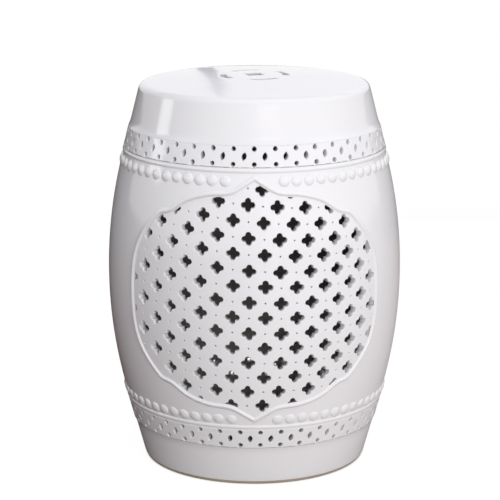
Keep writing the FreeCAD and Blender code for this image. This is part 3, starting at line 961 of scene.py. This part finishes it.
def make_beads(node, height, count, gap):
    """A row of beads pressed on by hand, with a gap in degrees left at the medallion's tip."""
    dome = make_bead()
    reach = skin(height)
    lean = math.asin((height - BELLY_HEIGHT) / SKIN_ARC_RADIUS)
    beads = []
    for index in range(count):
        bead = dome.copy()
        bead.data = dome.data.copy()
        bpy.context.collection.objects.link(bead)
        degrees = gap / 2 + index * (360 - gap) / (count - 1)
        angle = math.radians(degrees) + wander(BEAD_TURN_WANDER)
        size = random.uniform(*BEAD_SIZES)
        round_stool = Matrix.Rotation(angle, 4, "Z")
        upright = round_stool @ Matrix.Rotation(math.pi / 2 - lean, 4, "X")
        seat = round_stool @ Vector((0, -reach * MM, height * MM + wander(BEAD_HEIGHT_WANDER) * MM))
        spin = Matrix.Rotation(random.uniform(0, math.tau), 4, "Z")
        stretch = Matrix.Diagonal((size, size * random.uniform(*BEAD_OVALS), size, 1))
        bead.matrix_world = Matrix.Translation(seat) @ upright @ stretch @ spin
        beads.append(bead)
    bpy.data.objects.remove(dome)
    deselect()
    for bead in beads:
        bead.select_set(True)
    bpy.context.view_layer.objects.active = beads[0]
    bpy.ops.object.join()
    bpy.ops.object.transform_apply(location=True, rotation=True, scale=True)
    finish_piece(bpy.context.object, node, GLAZE)


def crown_height(radius):
    """Height of the crowned seat at a distance from the axis."""
    crown = (EDGE_RADIUS ** 2 + CROWN_RISE ** 2) / (2 * CROWN_RISE)
    return EDGE_HEIGHT + CROWN_RISE - crown + np.sqrt(crown ** 2 - radius ** 2)


def on_coin(reach, angle):
    """The point at an angle about the axis that is so far outside the coin's circle."""
    return (COIN_RADIUS + reach) * math.cos(angle), (COIN_RADIUS + reach) * math.sin(angle)


def coin_loops():
    """The coin cut through the seat: a square hole and four arc slots with rounded ends."""
    turn = math.radians(COIN_TURN)
    cosine, sine = math.cos(turn), math.sin(turn)
    straight = COIN_HOLE_SIDE / 2 - COIN_HOLE_ROUNDING
    square = []
    for corner in range(4):
        for step in range(4):
            angle = math.pi / 2 * (corner + step / 3)
            x = straight * (1 if corner in (0, 3) else -1) + COIN_HOLE_ROUNDING * math.cos(angle)
            y = straight * (1 if corner in (0, 1) else -1) + COIN_HOLE_ROUNDING * math.sin(angle)
            square.append((x * cosine - y * sine, x * sine + y * cosine))
    loops = [square]
    half_width = COIN_SLOT_WIDTH / 2
    end_reach = half_width - COIN_SLOT_ROUNDING
    end_angle = COIN_SLOT_ROUNDING / COIN_RADIUS
    half_angle = math.radians(COIN_SLOT_ANGLE / 2) - end_angle
    for slot in range(4):
        middle = turn + slot * math.pi / 2
        angles = [middle - half_angle + 2 * half_angle * step / 14 for step in range(15)]
        loop = [on_coin(half_width, angle) for angle in angles]
        loop += [on_coin(reach, angles[-1] + end_angle) for reach in (end_reach, -end_reach)]
        loop += [on_coin(-half_width, angle) for angle in reversed(angles)]
        loop += [on_coin(reach, angles[0] - end_angle) for reach in (-end_reach, end_reach)]
        loops.append(loop)
    return loops


def coin_disc(edge):
    """The seat's middle, pierced flat and slumped to the crown, its outer edge left open."""
    grid = steps_between(-COIN_DISC_RADIUS, COIN_DISC_RADIUS, 8)
    border = ring_loop(0, 0, COIN_DISC_RADIUS, TURN_STEPS)
    disc = pierced_slab([border] + coin_loops(), SEAT_THICKNESS, COIN_SOFTNESS, grid, grid)
    delete_faces(disc, lambda centre, normal: (
        math.hypot(centre.x, centre.y) > edge - 0.2 and abs(normal.z) < 0.99))
    for vertex in disc.data.vertices:
        radius = math.hypot(vertex.co.x, vertex.co.y) / MM
        if radius > edge - 0.05:
            vertex.co.x *= edge / radius
            vertex.co.y *= edge / radius
        vertex.co.z += crown_height(min(radius, edge)) * MM
    return disc


def make_seat_top():
    """The crowned seat: its middle pierced with the coin as a flat disc, the rest turned, with a
    soft edge."""
    edge = COIN_DISC_RADIUS - COIN_SOFTNESS
    disc = coin_disc(edge)
    inner_radius = skin(SEAT_SEAM) - WALL
    section = [(radius, crown_height(radius)) for radius in (edge, 75, 90, 105, 118)]
    section += seat_edge()
    section += [
        (skin(SEAT_SEAM), SEAT_SEAM), (inner_radius, SEAT_SEAM), (inner_radius, SEAT_SEAM + 4.5)]
    section += [(radius, crown_height(radius) - SEAT_THICKNESS) for radius in (124, 105, 80, edge)]
    ring = turned_ring(section)
    delete_faces(ring, lambda centre, normal: (
        math.hypot(centre.x, centre.y) < edge + 0.01 and abs(normal.z) < 0.5))
    disc.select_set(True)
    bpy.context.view_layer.objects.active = ring
    bpy.ops.object.join()
    weld(0.05)
    bpy.ops.object.shade_smooth_by_angle(angle=CREASE_ANGLE)
    bpy.ops.object.modifier_add(type="WEIGHTED_NORMAL")
    ring.modifiers[-1].keep_sharp = True
    bpy.ops.object.modifier_apply(modifier=ring.modifiers[-1].name)
    mark_inside(ring, lambda centre, normal: normal.z < -0.6 or (
        centre.z < SEAT_SEAM + 5 and math.hypot(centre.x, centre.y) < inner_radius + 1))
    finish_piece(ring, "seat_top", GLAZE)


def seat_edge(steps=10):
    """The seat's rounded edge, from the crown over to the shoulder's cone."""
    start_radius = EDGE_RADIUS - SEAT_ROUNDING * 1.15
    end_height = EDGE_HEIGHT - SEAT_ROUNDING * 1.05
    start = (start_radius, float(crown_height(start_radius)))
    corner = (EDGE_RADIUS - 0.3, EDGE_HEIGHT - 0.3)
    end = (skin(end_height), end_height)
    points = []
    for step in range(steps + 1):
        share = step / steps
        weights = ((1 - share) ** 2, 2 * share * (1 - share), share ** 2)
        points.append(tuple(
            sum(weight * point[part] for weight, point in zip(weights, (start, corner, end)))
            for part in (0, 1)))
    return points


make_bare_foot_rim()
make_foot_wall()
make_pierced_band("lower_pierced_band", FOOT_HEIGHT, turn=2.7)
make_cord("lower_cord", LOWER_BAND_TOP, BELLY_BOTTOM)
make_belly_wall()
make_lattice_panel()
make_medallion_rim()
make_cord("upper_cord", BELLY_TOP, UPPER_CORD_TOP)
make_pierced_band("upper_pierced_band", UPPER_CORD_TOP, turn=0)
make_shoulder_wall()
make_seat_top()
make_beads("upper_beads", BELLY_TOP - BEAD_RADIUS - 2.5, count=63, gap=24)
make_beads("lower_beads", BELLY_BOTTOM + BEAD_RADIUS + 0.4, count=64, gap=19.6)


# The studio

FLOOR_SIZE = 14
CAMERA_PLACE = (0, -2.3623, 0.8153)
CAMERA_TIP = 13.42
CAMERA_LENS = 144.06
CAMERA_SHIFT = -0.00887


def make_floor():
    """A seamless floor, white to the eye, that still takes the stool's soft shadow. In the glaze
    and as light it is a warm brown, dark on the left with painted shade and paler on the right,
    and under the stool it is pale and has no glow."""
    deselect()
    bpy.ops.mesh.primitive_plane_add(size=FLOOR_SIZE)
    floor = bpy.context.object
    floor.name = "studio_floor"
    material, tree = new_material("pale_studio_floor")
    path = add_node(tree, "ShaderNodeLightPath")
    place = object_coords(tree)
    reach = add_node(tree, "ShaderNodeVectorMath", {"operation": "LENGTH"}, links={0: place})
    outside = ramp(tree, reach.outputs["Value"], 130 * MM, 135 * MM)
    shown = add_node(
        tree, "ShaderNodeMath", {"operation": "MULTIPLY"},
        links={0: path.outputs["Is Camera Ray"], 1: outside})
    across = add_node(tree, "ShaderNodeSeparateXYZ", links={0: place})
    # Painted shade: as light and in the glaze, the floor is dark brown on the left, paling to the
    # right
    painted_shade_fade = ramp(tree, across.outputs["X"], -230 * MM, 120 * MM)
    brown = blend(tree, painted_shade_fade, "#452A1A", "#ADA39C")
    ground = blend(tree, outside, "#E6E4E0", brown)
    warm = add_node(tree, "ShaderNodeBsdfDiffuse", links={"Color": ground})
    matt = add_node(tree, "ShaderNodeBsdfDiffuse", sockets={"Color": paint("#5A5A5A")})
    glow = add_node(tree, "ShaderNodeEmission", sockets={"Strength": 0.94})
    white = add_node(
        tree, "ShaderNodeAddShader", links={0: matt.outputs["BSDF"], 1: glow.outputs["Emission"]})
    mixed = add_node(
        tree, "ShaderNodeMixShader",
        links={0: shown.outputs["Value"], 1: warm.outputs["BSDF"], 2: white.outputs["Shader"]})
    add_node(tree, "ShaderNodeOutputMaterial", links={"Surface": mixed.outputs["Shader"]})
    floor.data.materials.append(material)


def make_world():
    """White to the eye and in reflections; as light, a soft fill."""
    world = bpy.data.worlds.new("white_studio")
    bpy.context.scene.world = world
    world.use_nodes = True
    tree = world.node_tree
    tree.nodes.clear()
    path = add_node(tree, "ShaderNodeLightPath")
    shown = add_node(
        tree, "ShaderNodeBackground", sockets={"Color": (1, 1, 1, 1), "Strength": 1.0})
    fill = add_node(
        tree, "ShaderNodeBackground", sockets={"Color": paint("#F9F9FF"), "Strength": 0.8})
    mixed = add_node(
        tree, "ShaderNodeMixShader",
        links={0: path.outputs["Is Diffuse Ray"], 1: shown.outputs["Background"],
               2: fill.outputs["Background"]})
    add_node(tree, "ShaderNodeOutputWorld", links={"Surface": mixed.outputs["Shader"]})


def turn_towards(thing, place, aim, face):
    """Turns a card or a lamp at a place so that the face along one of its axes looks at its aim."""
    thing.rotation_euler = (Vector(aim) - Vector(place)).to_track_quat(face, "Y").to_euler()


def make_card(name, place, aim, size, colour, seen_in=("glaze", "light")):
    """A card beside the set, out of the camera's sight, that the glaze mirrors or that keeps
    light off the stool, or both."""
    deselect()
    bpy.ops.mesh.primitive_plane_add(size=1, location=place)
    card = bpy.context.object
    card.name = name
    card.scale = (*size, 1)
    turn_towards(card, place, aim, "Z")
    material, tree = new_material(f"{name}_felt")
    matt = add_node(tree, "ShaderNodeBsdfDiffuse", sockets={"Color": paint(colour)})
    add_node(tree, "ShaderNodeOutputMaterial", links={"Surface": matt.outputs["BSDF"]})
    card.data.materials.append(material)
    card.visible_camera = False
    card.visible_glossy = "glaze" in seen_in
    card.visible_diffuse = "light" in seen_in
    card.visible_shadow = "light" in seen_in


def make_lamp(name, place, aim, size, power, mirrored=True):
    deselect()
    bpy.ops.object.light_add(type="AREA", location=place)
    lamp = bpy.context.object
    lamp.name = name
    lamp.data.shape = "RECTANGLE"
    lamp.data.size, lamp.data.size_y = size
    lamp.data.energy = power
    turn_towards(lamp, place, aim, "-Z")
    lamp.visible_glossy = mirrored


make_floor()
make_world()
make_card(
    "left_back_card", place=(-1.3, 1.2, 0.235), aim=(-1.3, 0, 0.235), size=(1.6, 0.47),
    colour="#4A3324")
make_card(
    "left_side_card", place=(-1.5, 0.45, 0.7), aim=(0, 0.45, 0.7), size=(1.9, 1.4),
    colour="#4A3A30", seen_in=("light",))
make_card(
    "right_back_card", place=(1.25, 1.3, 0.26), aim=(1.25, 0, 0.26), size=(2.0, 0.52),
    colour="#8A8688")
make_card(
    "ceiling_card", place=(0, -0.6, 1.9), aim=(0, -0.6, 0), size=(4.0, 4.4),
    colour="#8C8A92", seen_in=("glaze",))
make_card(
    "window_bar", place=(-0.13, 2.2, 0.95), aim=(-0.13, 0, 0.95), size=(0.045, 1.1),
    colour="#C0BEC8", seen_in=("glaze",))
make_lamp(
    "front_softbox", place=(0.62, -2.15, 0.48), aim=(0, 0, 0.2), size=(0.9, 0.7), power=19,
    mirrored=False)
make_lamp(
    "top_softbox", place=(0.1, -0.2, 2.3), aim=(0, 0, 0.4), size=(1.6, 1.6), power=9,
    mirrored=False)
make_lamp("front_sheen", place=(0.47, -2.0, 1.18), aim=(0, 0, 0.42), size=(0.75, 0.2), power=0.6)
make_lamp("left_strip", place=(-1.45, 0.0, 0.68), aim=(0, 0, 0.42), size=(0.36, 0.3), power=1.3)

# A long lens, tipped a little down
bpy.ops.object.camera_add(
    location=CAMERA_PLACE, rotation=(math.radians(90 - CAMERA_TIP), 0, 0))
camera = bpy.context.object
camera.data.sensor_width = 36
camera.data.lens = CAMERA_LENS
camera.data.shift_x = CAMERA_SHIFT
bpy.context.scene.camera = camera
bpy.context.scene.view_settings.view_transform = "Standard"
